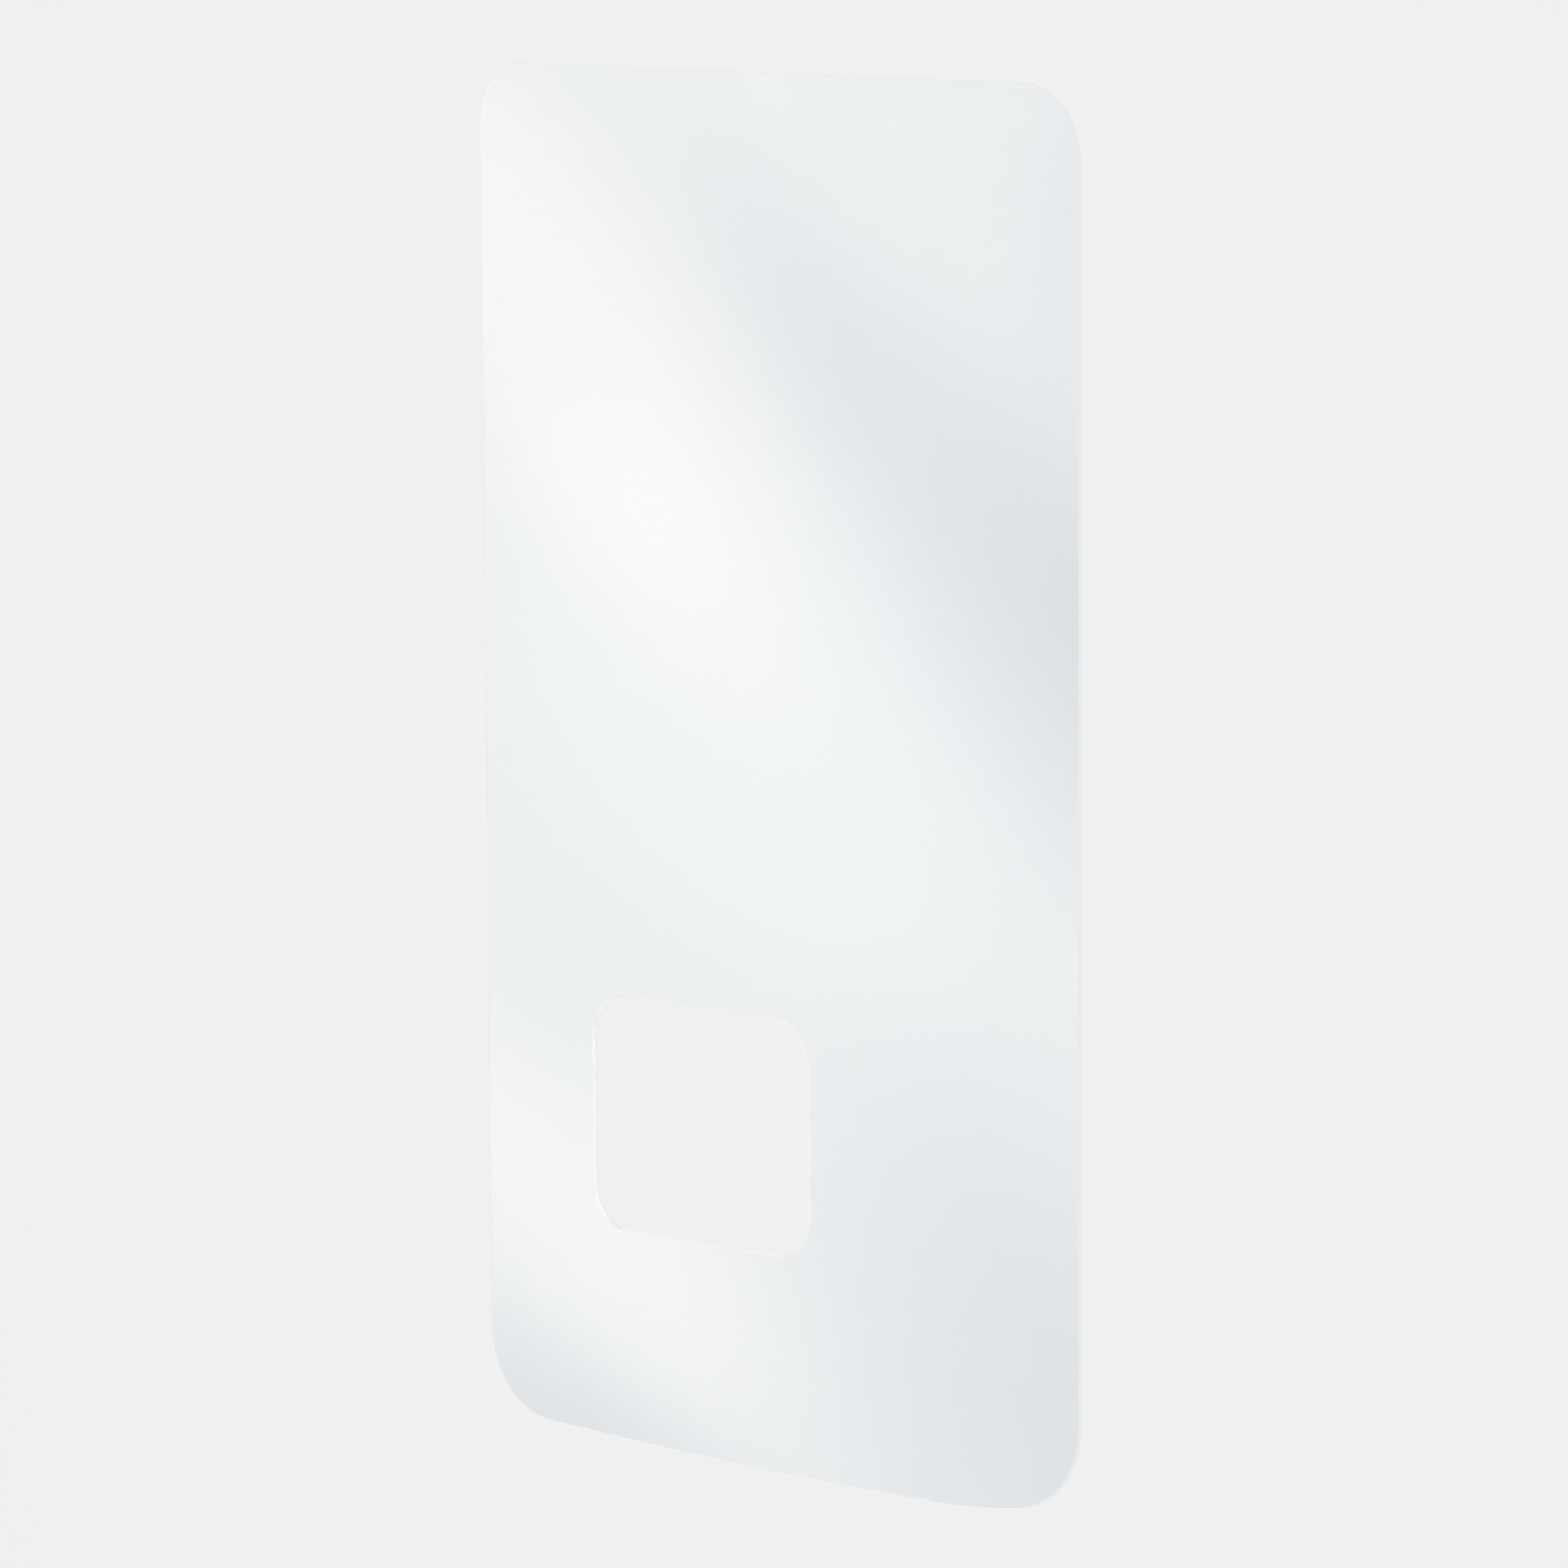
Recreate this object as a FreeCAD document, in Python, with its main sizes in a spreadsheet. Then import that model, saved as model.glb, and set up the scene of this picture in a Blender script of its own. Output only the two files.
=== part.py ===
# Clear stick-on screen protector for an avalanche transceiver, cut as one sheet of film.
#
# The outline is a tall rounded rectangle. Its bottom edge bows outwards, and on the right an easy
# shoulder leads it up into the corner. A rounded window low on the left leaves a button free.
# The rim of the outer face is eased by a fine round along the outline and a wider one round the window.
#
# Millimetres. X runs across the film, Y up it to its top edge, and Z out of its outer face.
# The adhesive face lies on Z = 0, and the origin is the middle of the film's box on that face.
import FreeCAD, Part
import math
import os
import Sketcher

NODE = "protector_film"

# Driving dimensions, seen from the outer face: name, millimetres, what it measures.
SIZES = (
    ("film_width", 60.0, "side to side"),
    ("film_length", 102.5, "top edge to the lowest point of the bottom edge"),
    ("film_thickness", 0.3, "adhesive face to outer face"),
    ("top_left_radius", 4.4, "corner of the outline"),
    ("top_right_radius", 5.4, "corner of the outline"),
    ("bottom_left_radius", 6.5, "corner of the outline"),
    ("bottom_right_radius", 6.8, "corner of the outline"),
    ("bow_radius", 750.0, "bottom edge, bowed outwards"),
    ("bow_low_point", 4.7, "lowest point of the bottom edge, right of the middle"),
    ("shoulder_radius", 57.0, "between the bottom edge and its right corner"),
    ("shoulder_inset", 14.35, "start of the shoulder, in from the right side"),
    ("window_width", 22.0, "button window, side to side"),
    ("window_height", 17.35, "button window, top to bottom"),
    ("window_radius", 3.3, "corners of the button window"),
    ("window_from_left", 11.3, "film's left side to the window"),
    ("window_from_bottom", 16.2, "film's lowest point to the window"),
    ("outline_round", 0.05, "round along the rim of the outer face"),
    ("window_round", 0.25, "round along the window's rim in the outer face"),
)

ORIGIN = (-1, 1)
START = 1
END = 2
CENTRE = 3
RIGHT = 0.0
UP = math.pi / 2
LEFT = math.pi
DOWN = 3 * math.pi / 2
TOLERANCE = 1e-6


def make_sheet(doc):
    """The spreadsheet of driving dimensions, one row each."""
    sheet = doc.addObject("Spreadsheet::Sheet", "sizes")
    for row, (name, value, meaning) in enumerate(SIZES, start=1):
        sheet.set(f"A{row}", name)
        sheet.set(f"B{row}", str(value))
        sheet.setAlias(f"B{row}", name)
        sheet.set(f"C{row}", meaning)
    doc.recompute()
    return sheet


def make_sketch(body, name):
    """An empty sketch on the body's XY plane."""
    plane = next(item for item in body.Origin.OriginFeatures if item.Role == "XY_Plane")
    sketch = body.newObject("Sketcher::SketchObject", name)
    sketch.AttachmentSupport = [(plane, "")]
    sketch.MapMode = "FlatFace"
    return sketch


def line(start, end):
    """A straight edge between two (x, y) points."""
    return Part.LineSegment(FreeCAD.Vector(*start, 0), FreeCAD.Vector(*end, 0))


def arc(centre, radius, first, last):
    """An arc about an (x, y) centre, anticlockwise from one angle to another, in radians."""
    circle = Part.Circle(FreeCAD.Vector(*centre, 0), FreeCAD.Vector(0, 0, 1), radius)
    return Part.ArcOfCircle(circle, first, last)


def angle_towards(start, end):
    """The angle of the way from one (x, y) point to another, within one full turn."""
    return math.atan2(end[1] - start[1], end[0] - start[0]) % math.tau


def centre_inside(centre, radius, x, small_radius):
    """Centre, at a given x, of a small arc that touches the foot of a larger one from inside."""
    drop = math.sqrt((radius - small_radius) ** 2 - (x - centre[0]) ** 2)
    return (x, centre[1] - drop)


def join(sketch, *pairs):
    """Joins edges end to end, without a kink. A pair is (edge, end, edge, end)."""
    for pair in pairs:
        sketch.addConstraint(Sketcher.Constraint("Tangent", *pair))


def bind(sketch, kind, place, value, expression):
    """Adds a constraint with a size, drawn at that value and tied to the spreadsheet."""
    index = sketch.addConstraint(Sketcher.Constraint(kind, *place, value))
    sketch.setExpression(f"Constraints[{index}]", expression)


def draw_outline(sketch, size):
    """The film's outline: three straight sides, four corners, and a bottom edge of two arcs."""
    half_width = size.film_width / 2
    half_length = size.film_length / 2

    bow_height = size.bow_radius - half_length
    bow_centre = (size.bow_low_point, bow_height)
    shoulder_x = half_width - size.shoulder_inset
    shoulder_y = centre_inside(bow_centre, size.bow_radius, shoulder_x, 0)[1]
    shoulder_angle = angle_towards(bow_centre, (shoulder_x, shoulder_y))
    shoulder_centre = (
        shoulder_x - size.shoulder_radius * math.cos(shoulder_angle),
        shoulder_y - size.shoulder_radius * math.sin(shoulder_angle),
    )

    top_left = (-half_width + size.top_left_radius, half_length - size.top_left_radius)
    top_right = (half_width - size.top_right_radius, half_length - size.top_right_radius)
    bottom_left_x = -half_width + size.bottom_left_radius
    bottom_left = centre_inside(bow_centre, size.bow_radius, bottom_left_x, size.bottom_left_radius)
    bottom_right_x = half_width - size.bottom_right_radius
    bottom_right = centre_inside(
        shoulder_centre, size.shoulder_radius, bottom_right_x, size.bottom_right_radius
    )
    bow_start = angle_towards(bow_centre, bottom_left)
    corner_start = angle_towards(shoulder_centre, bottom_right)

    edges = sketch.addGeometry([
        line((-half_width, bottom_left[1]), (-half_width, top_left[1])),
        arc(top_left, size.top_left_radius, UP, LEFT),
        line((top_left[0], half_length), (top_right[0], half_length)),
        arc(top_right, size.top_right_radius, RIGHT, UP),
        line((half_width, top_right[1]), (half_width, bottom_right[1])),
        arc(bottom_right, size.bottom_right_radius, corner_start, math.tau),
        arc(shoulder_centre, size.shoulder_radius, shoulder_angle, corner_start),
        arc(bow_centre, size.bow_radius, bow_start, shoulder_angle),
        arc(bottom_left, size.bottom_left_radius, LEFT, bow_start),
    ])
    left_side, corner_tl, top_side, corner_tr, right_side = edges[:5]
    corner_br, shoulder, bow, corner_bl = edges[5:]
    join(
        sketch,
        (left_side, END, corner_tl, END),
        (corner_tl, START, top_side, START),
        (top_side, END, corner_tr, END),
        (corner_tr, START, right_side, START),
        (right_side, END, corner_br, END),
        (corner_br, START, shoulder, END),
        (shoulder, START, bow, END),
        (bow, START, corner_bl, END),
        (corner_bl, START, left_side, START),
    )
    sketch.addConstraint(Sketcher.Constraint("Vertical", left_side))
    sketch.addConstraint(Sketcher.Constraint("Horizontal", top_side))
    sketch.addConstraint(Sketcher.Constraint("Vertical", right_side))

    bind(sketch, "DistanceX", (left_side, START, *ORIGIN), half_width, "sizes.film_width / 2")
    bind(sketch, "DistanceX", (*ORIGIN, right_side, START), half_width, "sizes.film_width / 2")
    bind(sketch, "DistanceY", (*ORIGIN, top_side, START), half_length, "sizes.film_length / 2")
    bind(sketch, "DistanceX", (*ORIGIN, bow, CENTRE), size.bow_low_point, "sizes.bow_low_point")
    bind(
        sketch, "DistanceY", (*ORIGIN, bow, CENTRE), bow_height,
        "sizes.bow_radius - sizes.film_length / 2",
    )
    bind(
        sketch, "DistanceX", (shoulder, START, right_side, START), size.shoulder_inset,
        "sizes.shoulder_inset",
    )
    radii = (
        (corner_tl, "top_left_radius"),
        (corner_tr, "top_right_radius"),
        (corner_br, "bottom_right_radius"),
        (shoulder, "shoulder_radius"),
        (bow, "bow_radius"),
        (corner_bl, "bottom_left_radius"),
    )
    for edge, name in radii:
        bind(sketch, "Radius", (edge,), getattr(size, name), f"sizes.{name}")


def draw_window(sketch, size):
    """The button window: a rounded rectangle, placed from the film's left side and lowest point."""
    radius = size.window_radius
    left = size.window_from_left - size.film_width / 2
    right = left + size.window_width
    bottom = size.window_from_bottom - size.film_length / 2
    top = bottom + size.window_height

    edges = sketch.addGeometry([
        line((left, bottom + radius), (left, top - radius)),
        arc((left + radius, top - radius), radius, UP, LEFT),
        line((left + radius, top), (right - radius, top)),
        arc((right - radius, top - radius), radius, RIGHT, UP),
        line((right, top - radius), (right, bottom + radius)),
        arc((right - radius, bottom + radius), radius, DOWN, math.tau),
        line((right - radius, bottom), (left + radius, bottom)),
        arc((left + radius, bottom + radius), radius, LEFT, DOWN),
    ])
    left_side, corner_tl, top_side, corner_tr = edges[:4]
    right_side, corner_br, bottom_side, corner_bl = edges[4:]
    join(
        sketch,
        (left_side, END, corner_tl, END),
        (corner_tl, START, top_side, START),
        (top_side, END, corner_tr, END),
        (corner_tr, START, right_side, START),
        (right_side, END, corner_br, END),
        (corner_br, START, bottom_side, START),
        (bottom_side, END, corner_bl, END),
        (corner_bl, START, left_side, START),
    )
    for side in (left_side, right_side):
        sketch.addConstraint(Sketcher.Constraint("Vertical", side))
    for side in (top_side, bottom_side):
        sketch.addConstraint(Sketcher.Constraint("Horizontal", side))
    for corner in (corner_tr, corner_br, corner_bl):
        sketch.addConstraint(Sketcher.Constraint("Equal", corner_tl, corner))

    bind(sketch, "Radius", (corner_tl,), radius, "sizes.window_radius")
    bind(
        sketch, "DistanceX", (left_side, START, right_side, START), size.window_width,
        "sizes.window_width",
    )
    bind(
        sketch, "DistanceY", (bottom_side, START, top_side, START), size.window_height,
        "sizes.window_height",
    )
    bind(
        sketch, "DistanceX", (*ORIGIN, left_side, START), left,
        "sizes.window_from_left - sizes.film_width / 2",
    )
    bind(
        sketch, "DistanceY", (*ORIGIN, bottom_side, START), bottom,
        "sizes.window_from_bottom - sizes.film_length / 2",
    )


def outer_face(shape):
    """The film's outer face, which lies highest."""
    return max(shape.Faces, key=lambda face: face.BoundBox.ZMin)


def edge_names(shape, edges):
    """Names, within a shape, of some of its edges."""
    return [
        f"Edge{number}"
        for number, edge in enumerate(shape.Edges, start=1)
        if any(edge.isSame(other) for other in edges)
    ]


def round_rim(body, name, base, edges, radius):
    """Rounds some edges of a feature by a size from the sheet."""
    rim = body.newObject("PartDesign::Fillet", name)
    rim.Base = (base, edge_names(base.Shape, edges))
    rim.setExpression("Radius", f"sizes.{radius}")
    body.Document.recompute()
    return rim


def make_film(doc, size):
    """The film: the outline padded to its thickness, the window cut through, both rims rounded."""
    body = doc.addObject("PartDesign::Body", NODE)
    body.Label = NODE

    outline = make_sketch(body, "outline")
    draw_outline(outline, size)
    sheet_pad = body.newObject("PartDesign::Pad", "sheet_pad")
    sheet_pad.Profile = outline
    sheet_pad.setExpression("Length", "sizes.film_thickness")
    doc.recompute()

    window = make_sketch(body, "window")
    draw_window(window, size)
    window_cut = body.newObject("PartDesign::Pocket", "window_cut")
    window_cut.Profile = window
    window_cut.Type = "ThroughAll"
    window_cut.Reversed = True
    doc.recompute()

    outline_edges = outer_face(window_cut.Shape).OuterWire.Edges
    outline_rim = round_rim(body, "outline_rim", window_cut, outline_edges, "outline_round")
    face = outer_face(outline_rim.Shape)
    window_edges = [edge for wire in face.Wires if not wire.isSame(face.OuterWire) for edge in wire.Edges]
    round_rim(body, "window_rim", outline_rim, window_edges, "window_round")

    window_area = size.window_width * size.window_height - (4 - math.pi) * size.window_radius ** 2
    removed = sheet_pad.Shape.Volume - window_cut.Shape.Volume
    if abs(removed - window_area * size.film_thickness) > TOLERANCE * removed:
        raise RuntimeError("the window isn't cut right through the film")
    return body


def check(doc, body):
    """Stops if any object failed, a sketch is loose, or the film isn't one valid solid."""
    for item in doc.Objects:
        if "Invalid" in item.State or "Error" in item.State:
            raise RuntimeError(f"{item.Label} failed: {item.State}")
        if item.isDerivedFrom("Sketcher::SketchObject") and not item.FullyConstrained:
            raise RuntimeError(f"{item.Label} isn't fully constrained")
    if body.Shape.isNull() or not body.Shape.isValid() or len(body.Shape.Solids) != 1:
        raise RuntimeError(f"{body.Label} isn't one valid solid")


def main():
    doc = FreeCAD.newDocument("screen_protector")
    size = make_sheet(doc)
    film = make_film(doc, size)
    check(doc, film)
    os.makedirs("parts", exist_ok=True)
    film.Shape.exportStep(f"parts/{film.Label}.step")


main()
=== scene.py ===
"""A clear protector film for an avalanche transceiver's screen, on a pale table in soft studio light."""
import math

import bmesh
import bpy
from mathutils import Euler, Matrix, Vector


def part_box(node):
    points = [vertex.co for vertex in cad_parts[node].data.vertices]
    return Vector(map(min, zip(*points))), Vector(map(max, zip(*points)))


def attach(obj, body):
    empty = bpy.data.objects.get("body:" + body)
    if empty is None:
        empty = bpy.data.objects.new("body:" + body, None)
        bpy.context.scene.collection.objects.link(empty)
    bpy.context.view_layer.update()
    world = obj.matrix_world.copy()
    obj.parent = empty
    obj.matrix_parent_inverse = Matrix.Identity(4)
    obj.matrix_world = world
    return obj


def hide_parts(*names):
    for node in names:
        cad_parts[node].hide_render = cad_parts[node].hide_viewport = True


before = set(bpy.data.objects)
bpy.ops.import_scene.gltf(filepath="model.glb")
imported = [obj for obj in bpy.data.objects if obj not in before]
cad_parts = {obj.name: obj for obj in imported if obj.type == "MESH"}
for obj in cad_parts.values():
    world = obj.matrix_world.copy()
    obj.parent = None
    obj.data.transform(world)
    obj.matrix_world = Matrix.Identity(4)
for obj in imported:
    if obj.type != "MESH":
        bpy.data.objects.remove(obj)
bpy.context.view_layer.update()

MM = 0.001
FILM_NODE = "protector_film"
FILM_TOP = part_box(FILM_NODE)[1].z

# The camera sees the film as the photograph does, from its right side and above.
CAMERA_PLACE = Vector((428.39, 80.01, 440.42)) * MM
CAMERA_TURN = Euler([math.radians(angle) for angle in (-7.776, 44.109, -0.464)])
CAMERA_LENS = 195.65
CAMERA_NEAREST = 0.01

# Points that lie closer than this are made one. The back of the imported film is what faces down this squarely.
MERGE_DISTANCE = 0.001 * MM
BACK_NORMAL = -0.99
# The film is cut into cells of this size, so that it can follow its ripples.
CELL = 2.0 * MM
# Each ripple of the film: height and wavelength in millimetres, heading and phase in degrees.
RIPPLES = (
    (0.040, 74.0, 38.0, 60.0),
    (0.030, 96.0, 82.0, 200.0),
    (0.012, 41.0, 55.0, 130.0),
)

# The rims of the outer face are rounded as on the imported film, in steps too fine to show.
OUTLINE_ROUND = 0.05 * MM
WINDOW_ROUND = 0.25 * MM
OUTLINE_STEPS = 3
WINDOW_STEPS = 12
# The coat reaches over the window's rim down to this lean, and below that is the cut wall.
WALL_LEAN = 65.0
# Edges sharper than this are creases.
CREASE = 50.0
# The film's materials, in the order of its slots.
COATED, BARE, RIM, CUT = range(4)

# Colours are linear. The table renders at the photograph's background grey.
TABLE_COLOUR = (0.8715, 0.8715, 0.8715)
TABLE_HALF_SIZE = 3.0
TABLE_DROP = 0.05 * MM
COAT_TINT = (0.874, 0.947, 1.0)
# The cut edge is tinted darker and greyer than the clear film: painted shade, a faint dark line all along the
# outline.
CUT_EDGE_SHADE_TINT = (0.90, 0.915, 0.93)
CLEAR_TINT = (1.0, 1.0, 1.0)
FILM_SHADOW_TINT = (0.985, 0.988, 0.995)
# The hard coat of the outer face mirrors more than bare polyester. The adhesive wets what it lies on.
COAT_INDEX = 2.0
RIM_INDEX = 2.2
ADHESIVE_INDEX = 1.003
# The finish of a surface: its grain in marks a metre, and its roughness at the smoothest and the roughest.
COAT_FINISH = (60.0, 0.03, 0.06)
BACK_FINISH = (120.0, 0.05, 0.10)
CUT_FINISH = (3000.0, 0.08, 0.14)
GRAIN_DETAIL = 3.0

# A radiance of 1 is as bright as a white sheet in this light. The surround is a pale ring up to one height
# and dim from another, each given as the sine of its elevation.
RING_RADIANCE = 0.85
RING_TOP = 0.40
SKY_RADIANCE = 0.12
SKY_START = 0.62
# The overhead light: its height in metres, how far it reaches from straight above in degrees, its radiance.
OVERHEAD_HEIGHT = 1.0
OVERHEAD_ANGLE = 38.0
OVERHEAD_RADIANCE = 1.99
# Lamps round and over the film, which the rims of the window mirror: heading and elevation in degrees,
# half the size in metres, the share that fades out, radiance. The far side is away from the camera.
SIDE_DISTANCE = 1.1
SIDE_LAMPS = {
    "side_lamp_far_upper": (140.0, 28.0, (0.42, 0.38), 0.8, 1.1),
    "side_lamp_lower": (252.0, 48.0, (0.60, 0.36), 0.4, 1.4),
    "side_lamp_far": (203.0, 20.0, (0.52, 0.25), 0.4, 1.0),
    "high_lamp_upper": (75.0, 62.0, (0.90, 0.34), 0.4, 2.1),
    "high_lamp_far": (190.0, 72.0, (0.50, 0.26), 0.4, 1.6),
    "high_lamp_near": (350.0, 58.0, (0.70, 0.44), 0.4, 2.1),
    "high_lamp_top": (43.0, 86.0, (0.22, 0.07), 1.0, 1.1),
}

# What the film mirrors towards the camera: a pale card, lamps before it, and dark flags between them.
# Each has the place on the film where the middle of its reflection lies, in millimetres, the heading of its
# long side in degrees, half its length and half its width on the film in millimetres, and the share of it
# that fades out. Then come a card's or lamp's radiance and colour, or the share of the light behind it that
# a flag holds back.
WHITE = (1.0, 1.0, 1.0)
CREAM = (1.0, 0.90, 0.80)
AMBER = (1.0, 0.82, 0.64)
CARD_DISTANCE = 0.60
FLAG_DISTANCE = 0.55
LAMP_DISTANCE = 0.50
CARDS = {
    "card": ((0, 0), 90, 130, 120, 0.3, 0.965, CREAM),
}
FLAGS = {
    "flag_right": ((34, 13), -40, 40, 16, 1.0, 1.0),
    "flag_band": ((8, 32), -45, 24, 9, 1.0, 0.40),
    "flag_low": ((29, -46), 126, 44, 26, 1.0, 0.82),
    "flag_corner": ((-22, -54), -17, 40, 14, 1.0, 0.85),
    "flag_edge": ((32, 42), 90, 20, 7, 1.0, 0.45),
}
LAMPS = {
    "lamp_streak": ((-22, 31), -47, 43, 15, 0.75, 0.66, AMBER),
    "lamp_fan": ((-4, 5), -38, 38, 24, 0.65, 0.36, WHITE),
    "lamp_lower": ((-20, -33), -33, 42, 12, 1.0, 0.60, CREAM),
    "lamp_spot": ((2, 51), -60, 8, 4, 1.0, 0.20, WHITE),
    "lamp_line_right": ((14, 48), -54, 6, 1.2, 1.0, 0.20, WHITE),
    "lamp_line_left": ((9.5, 48.5), -58, 5, 1.0, 1.0, 0.14, WHITE),
}


def node_tree(material):
    """Turns nodes on and returns the emptied tree with its output node."""
    material.use_nodes = True
    tree = material.node_tree
    tree.nodes.clear()
    output = tree.nodes.new("ShaderNodeOutputMaterial")
    return tree, output


def clear_material(name, tint, index, grain, smoothest, roughest):
    """Clear polyester whose gloss varies with a grain of so many marks a metre."""
    material = bpy.data.materials.new(name)
    tree, output = node_tree(material)
    nodes, link = tree.nodes, tree.links.new

    place = nodes.new("ShaderNodeTexCoord")
    haze = nodes.new("ShaderNodeTexNoise")
    haze.inputs["Scale"].default_value = grain
    haze.inputs["Detail"].default_value = GRAIN_DETAIL
    gloss = nodes.new("ShaderNodeMapRange")
    gloss.inputs["To Min"].default_value = smoothest
    gloss.inputs["To Max"].default_value = roughest
    link(place.outputs["Object"], haze.inputs["Vector"])
    link(haze.outputs["Fac"], gloss.inputs["Value"])

    clear = nodes.new("ShaderNodeBsdfPrincipled")
    clear.inputs["Base Color"].default_value = (*tint, 1.0)
    clear.inputs["Transmission Weight"].default_value = 1.0
    clear.inputs["IOR"].default_value = index
    link(gloss.outputs["Result"], clear.inputs["Roughness"])

    shadow = nodes.new("ShaderNodeBsdfTransparent")
    shadow.inputs["Color"].default_value = (*FILM_SHADOW_TINT, 1.0)
    path = nodes.new("ShaderNodeLightPath")
    mix = nodes.new("ShaderNodeMixShader")
    link(path.outputs["Is Shadow Ray"], mix.inputs["Fac"])
    link(clear.outputs["BSDF"], mix.inputs[1])
    link(shadow.outputs["BSDF"], mix.inputs[2])
    link(mix.outputs["Shader"], output.inputs["Surface"])
    return material


def table_material():
    """Matt pale grey."""
    material = bpy.data.materials.new("table")
    tree, output = node_tree(material)
    paint = tree.nodes.new("ShaderNodeBsdfDiffuse")
    paint.inputs["Color"].default_value = (*TABLE_COLOUR, 1.0)
    tree.links.new(paint.outputs["BSDF"], output.inputs["Surface"])
    return material


def fade_out(tree, fade_share, rim, middle):
    """A level that goes from one value at a panel's rim to another towards its middle."""
    place = tree.nodes.new("ShaderNodeTexCoord")
    fade = tree.nodes.new("ShaderNodeTexGradient")
    fade.gradient_type = "SPHERICAL"
    level = tree.nodes.new("ShaderNodeMapRange")
    level.interpolation_type = "SMOOTHSTEP"
    level.inputs["From Max"].default_value = fade_share
    level.inputs["To Min"].default_value = rim
    level.inputs["To Max"].default_value = middle
    tree.links.new(place.outputs["Object"], fade.inputs["Vector"])
    tree.links.new(fade.outputs["Fac"], level.inputs["Value"])
    return level.outputs["Result"]


def lamp_material(name, fade_share, radiance, colour):
    """Light that fades out towards the panel's rim, and lets the light behind it through."""
    material = bpy.data.materials.new(name)
    tree, output = node_tree(material)
    glow = tree.nodes.new("ShaderNodeEmission")
    glow.inputs["Color"].default_value = (*colour, 1.0)
    tree.links.new(fade_out(tree, fade_share, 0.0, radiance), glow.inputs["Strength"])
    through = tree.nodes.new("ShaderNodeBsdfTransparent")
    both = tree.nodes.new("ShaderNodeAddShader")
    tree.links.new(glow.outputs["Emission"], both.inputs[0])
    tree.links.new(through.outputs["BSDF"], both.inputs[1])
    tree.links.new(both.outputs["Shader"], output.inputs["Surface"])
    return material


def flag_material(name, fade_share, held_back):
    """A dark gauze, thinner towards its rim."""
    material = bpy.data.materials.new(name)
    tree, output = node_tree(material)
    gauze = tree.nodes.new("ShaderNodeBsdfTransparent")
    tree.links.new(fade_out(tree, fade_share, 1.0, 1.0 - held_back), gauze.inputs["Color"])
    tree.links.new(gauze.outputs["BSDF"], output.inputs["Surface"])
    return material


def ripple_height(x, y):
    """How far the film stands off the table at a place, in metres."""
    height = 0.0
    for rise, wavelength, heading, phase in RIPPLES:
        turn = math.radians(heading)
        along = x * math.cos(turn) + y * math.sin(turn)
        wave = math.sin(math.tau * along / (wavelength * MM) + math.radians(phase))
        height += rise * MM * (1.0 + wave)
    return height


def film_materials():
    """The materials of the coated face, the bare back, the window's rim and the outline's cut edge, whose
    darker tint is painted shade.
    """
    return (
        clear_material("coated_face", COAT_TINT, COAT_INDEX, *COAT_FINISH),
        clear_material("bare_film", CLEAR_TINT, ADHESIVE_INDEX, *BACK_FINISH),
        clear_material("window_rim", CLEAR_TINT, RIM_INDEX, *CUT_FINISH),
        # The cut edge's darker tint is painted shade along the outline.
        clear_material("cut_edge_painted_shade", CUT_EDGE_SHADE_TINT, ADHESIVE_INDEX, *CUT_FINISH),
    )


def length_round(points):
    """The length of a closed row of points."""
    return sum((point - points[index - 1]).length for index, point in enumerate(points))


def is_back(face):
    """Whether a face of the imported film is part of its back."""
    return face.normal.z < BACK_NORMAL


def cut_loops(node):
    """The film's outline and its window, each a closed row of points with the film on its left."""
    mesh = bmesh.new()
    mesh.from_mesh(node.data)
    bmesh.ops.remove_doubles(mesh, verts=mesh.verts, dist=MERGE_DISTANCE)
    following = {}
    for face in filter(is_back, mesh.faces):
        for corner in face.loops:
            if not all(map(is_back, corner.edge.link_faces)):
                following[corner.link_loop_next.vert] = corner.vert
    loops = []
    while following:
        vert, after = following.popitem()
        points = [vert.co.xy]
        while after in following:
            points.append(after.co.xy)
            after = following.pop(after)
        loops.append(points)
    mesh.free()
    return sorted(loops, key=length_round, reverse=True)


def moved_in(points, distance):
    """A closed row of points moved into the film, which lies on its left."""
    moved = []
    for index, point in enumerate(points):
        before = (point - points[index - 1]).normalized()
        after = (points[(index + 1) % len(points)] - point).normalized()
        along = (before + after).normalized()
        inwards = Vector((-along.y, along.x))
        moved.append(point + inwards * (distance / along.dot(after)))
    return moved


def add_edge(mesh, points, thickness, radius, steps, rim, wall):
    """The sheet's edge along a closed row of points. Gives the edges of its back and of its outer face."""
    rows = [(0.0, 0.0, wall)]
    for step in range(steps + 1):
        lean = math.radians(90.0 * (1.0 - step / steps))
        inset = radius * (1.0 - math.sin(lean))
        height = thickness - radius * (1.0 - math.cos(lean))
        material = rim if math.degrees(lean) < WALL_LEAN else wall
        rows.append((inset, height, material))
    rings = []
    for inset, height, _ in rows:
        ring = [mesh.verts.new((*point, height)) for point in moved_in(points, inset)]
        rings.append(ring)
    for low, high, (_, _, material) in zip(rings, rings[1:], rows[1:]):
        for index in range(len(points)):
            face = mesh.faces.new((low[index - 1], low[index], high[index], high[index - 1]))
            face.material_index = material
    ends = []
    for ring in (rings[0], rings[-1]):
        ends.append([mesh.edges.get((ring[index - 1], ring[index])) for index in range(len(ring))])
    return ends


def fill(mesh, edges, material):
    """A face of the sheet, between its outline and its window."""
    made = bmesh.ops.triangle_fill(mesh, use_beauty=True, edges=edges)
    for face in made["geom"]:
        if isinstance(face, bmesh.types.BMFace):
            face.material_index = material


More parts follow.
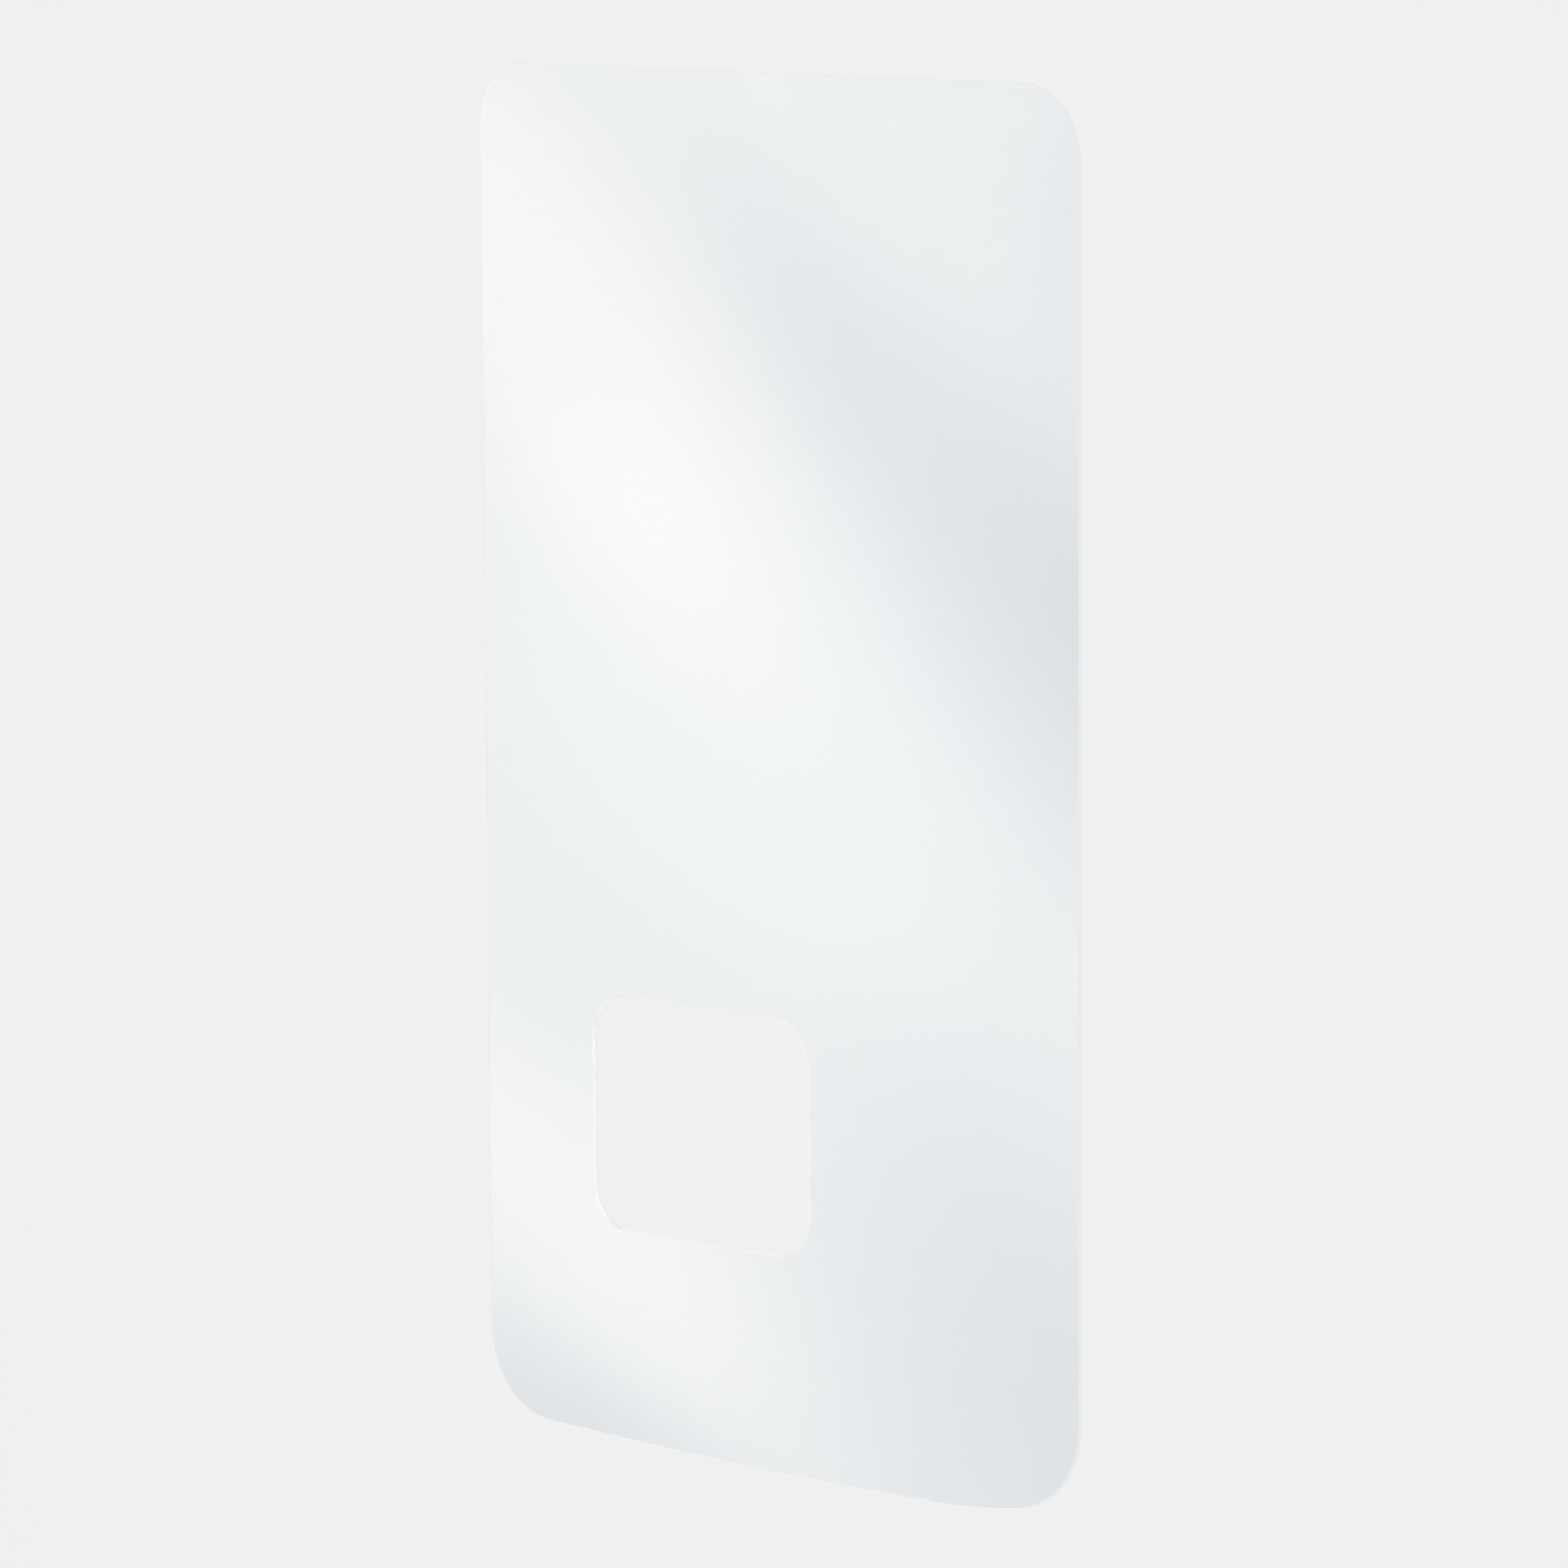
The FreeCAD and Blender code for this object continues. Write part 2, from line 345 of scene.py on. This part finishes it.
def cut_into_cells(mesh, low, high):
    """Cuts the sheet across both ways, so that it can bend, and merges points that nearly meet."""
    for axis in (0, 1):
        normal = Vector((0.0, 0.0, 0.0))
        normal[axis] = 1.0
        place = low[axis] + CELL
        while place < high[axis]:
            everything = mesh.verts[:] + mesh.edges[:] + mesh.faces[:]
            bmesh.ops.bisect_plane(mesh, geom=everything, plane_co=normal * place, plane_no=normal)
            place += CELL
    bmesh.ops.remove_doubles(mesh, verts=mesh.verts, dist=MERGE_DISTANCE)


def make_film():
    """The film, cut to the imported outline, with rounded rims and slow ripples, as a thin sheet lies."""
    low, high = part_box(FILM_NODE)
    thickness = high.z - low.z
    outline, window = cut_loops(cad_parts[FILM_NODE])
    mesh = bmesh.new()
    back, front = add_edge(mesh, outline, thickness, OUTLINE_ROUND, OUTLINE_STEPS, CUT, CUT)
    window_back, window_front = add_edge(mesh, window, thickness, WINDOW_ROUND, WINDOW_STEPS, RIM, BARE)
    fill(mesh, back + window_back, BARE)
    fill(mesh, front + window_front, COATED)
    bmesh.ops.recalc_face_normals(mesh, faces=mesh.faces)
    cut_into_cells(mesh, low, high)
    for vert in mesh.verts:
        vert.co.z += ripple_height(vert.co.x, vert.co.y)
    for face in mesh.faces:
        face.smooth = True
    for edge in mesh.edges:
        coated = sum(face.material_index == COATED for face in edge.link_faces)
        edge.smooth = coated != 1 and edge.calc_face_angle(0.0) < math.radians(CREASE)

    data = bpy.data.meshes.new("film_sheet")
    mesh.to_mesh(data)
    mesh.free()
    for material in film_materials():
        data.materials.append(material)
    film = bpy.data.objects.new("film_sheet", data)
    bpy.context.collection.objects.link(film)
    even = film.modifiers.new("even_normals", "WEIGHTED_NORMAL")
    even.keep_sharp = True
    # Light that the table scatters passes the film unchanged.
    film.visible_diffuse = False
    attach(film, "root")
    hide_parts(FILM_NODE)


def plate(name, material):
    """A square of two by two metres in its own plane."""
    data = bpy.data.meshes.new(name)
    corners = ((-1.0, -1.0, 0.0), (1.0, -1.0, 0.0), (1.0, 1.0, 0.0), (-1.0, 1.0, 0.0))
    data.from_pydata(corners, [], [(0, 1, 2, 3)])
    data.materials.append(material)
    thing = bpy.data.objects.new(name, data)
    bpy.context.collection.objects.link(thing)
    return thing


def make_table():
    """The pale table, just below the film."""
    table = plate("table", table_material())
    table.scale = (TABLE_HALF_SIZE, TABLE_HALF_SIZE, 1.0)
    table.location.z = -TABLE_DROP


def make_camera():
    """The camera at the photograph's viewing angle."""
    data = bpy.data.cameras.new("camera")
    data.lens = CAMERA_LENS
    data.clip_start = CAMERA_NEAREST
    camera = bpy.data.objects.new("camera", data)
    camera.location = CAMERA_PLACE
    camera.rotation_euler = CAMERA_TURN
    bpy.context.collection.objects.link(camera)
    bpy.context.scene.camera = camera


def mirrored_sight(place):
    """A place on the film's top, in metres, and the direction in which the camera's sight leaves it."""
    point = Vector((place[0] * MM, place[1] * MM, FILM_TOP))
    sight = (point - CAMERA_PLACE).normalized()
    return point, Vector((sight.x, sight.y, -sight.z))


def make_panel(name, material, place, facing, long_axis, half_size):
    """A soft panel, turned to face a direction, which is there only for the film to mirror."""
    panel = plate(name, material)
    wide_axis = facing.cross(long_axis)
    turn = Matrix((long_axis, wide_axis, facing)).transposed().to_4x4()
    size = Matrix.Diagonal((*half_size, 1.0, 1.0))
    panel.matrix_world = Matrix.Translation(place) @ turn @ size
    panel.visible_camera = False
    panel.visible_shadow = False
    panel.visible_diffuse = False


def make_mirrored_panel(name, material, distance, middle, heading, half_length, half_width):
    """A panel square to the camera's mirrored sight, which the film mirrors at a place of its own."""
    turn = math.radians(heading)
    end = (middle[0] + half_length * math.cos(turn), middle[1] + half_length * math.sin(turn))
    point, sight = mirrored_sight(middle)
    end_point, end_sight = mirrored_sight(end)
    place = point + sight * distance
    end_place = end_point + end_sight * ((place - end_point).dot(sight) / end_sight.dot(sight))
    long_axis = end_place - place
    half_size = (long_axis.length, long_axis.length * half_width / half_length)
    make_panel(name, material, place, -sight, long_axis.normalized(), half_size)


def make_side_lamp(name, heading, elevation, half_size, fade_share, radiance):
    """A soft lamp beside or over the film, turned to face it."""
    around = math.radians(heading)
    level = Vector((math.cos(around), math.sin(around), 0.0))
    up = math.radians(elevation)
    outward = level * math.cos(up) + Vector((0.0, 0.0, math.sin(up)))
    sideways = Vector((-level.y, level.x, 0.0))
    material = lamp_material(name, fade_share, radiance, WHITE)
    make_panel(name, material, outward * SIDE_DISTANCE, -outward, sideways, half_size)


def make_overhead_light():
    """A wide round light over the film, which lights the table evenly."""
    radius = OVERHEAD_HEIGHT * math.tan(math.radians(OVERHEAD_ANGLE))
    data = bpy.data.lights.new("overhead", "AREA")
    data.shape = "DISK"
    data.size = 2.0 * radius
    area = math.pi * radius ** 2
    data.energy = OVERHEAD_RADIANCE * math.pi * area
    light = bpy.data.objects.new("overhead", data)
    light.location.z = OVERHEAD_HEIGHT
    light.visible_camera = False
    light.visible_glossy = False
    bpy.context.collection.objects.link(light)


def make_lights():
    """The overhead light, the lamps round the film, and what the film mirrors towards the camera."""
    make_overhead_light()
    for name, (heading, elevation, half_size, fade_share, radiance) in SIDE_LAMPS.items():
        make_side_lamp(name, heading, elevation, half_size, fade_share, radiance)
    for group, distance in ((CARDS, CARD_DISTANCE), (LAMPS, LAMP_DISTANCE)):
        for name, (middle, heading, half_length, half_width, *light) in group.items():
            material = lamp_material(name, *light)
            make_mirrored_panel(name, material, distance, middle, heading, half_length, half_width)
    for name, (middle, heading, half_length, half_width, *shade) in FLAGS.items():
        material = flag_material(name, *shade)
        make_mirrored_panel(name, material, FLAG_DISTANCE, middle, heading, half_length, half_width)


def make_world():
    """A pale ring of light all round, and dim light above it."""
    world = bpy.data.worlds.new("studio")
    bpy.context.scene.world = world
    world.use_nodes = True
    tree = world.node_tree
    tree.nodes.clear()
    nodes, link = tree.nodes, tree.links.new
    output = nodes.new("ShaderNodeOutputWorld")
    surround = nodes.new("ShaderNodeBackground")
    direction = nodes.new("ShaderNodeTexCoord")
    parts = nodes.new("ShaderNodeSeparateXYZ")
    grade = nodes.new("ShaderNodeMapRange")
    grade.interpolation_type = "SMOOTHSTEP"
    grade.inputs["From Min"].default_value = RING_TOP
    grade.inputs["From Max"].default_value = SKY_START
    grade.inputs["To Min"].default_value = RING_RADIANCE
    grade.inputs["To Max"].default_value = SKY_RADIANCE
    link(direction.outputs["Generated"], parts.inputs["Vector"])
    link(parts.outputs["Z"], grade.inputs["Value"])
    link(grade.outputs["Result"], surround.inputs["Strength"])
    link(surround.outputs["Background"], output.inputs["Surface"])


make_film()
make_table()
make_camera()
make_lights()
make_world()
bpy.context.scene.view_settings.view_transform = "Standard"
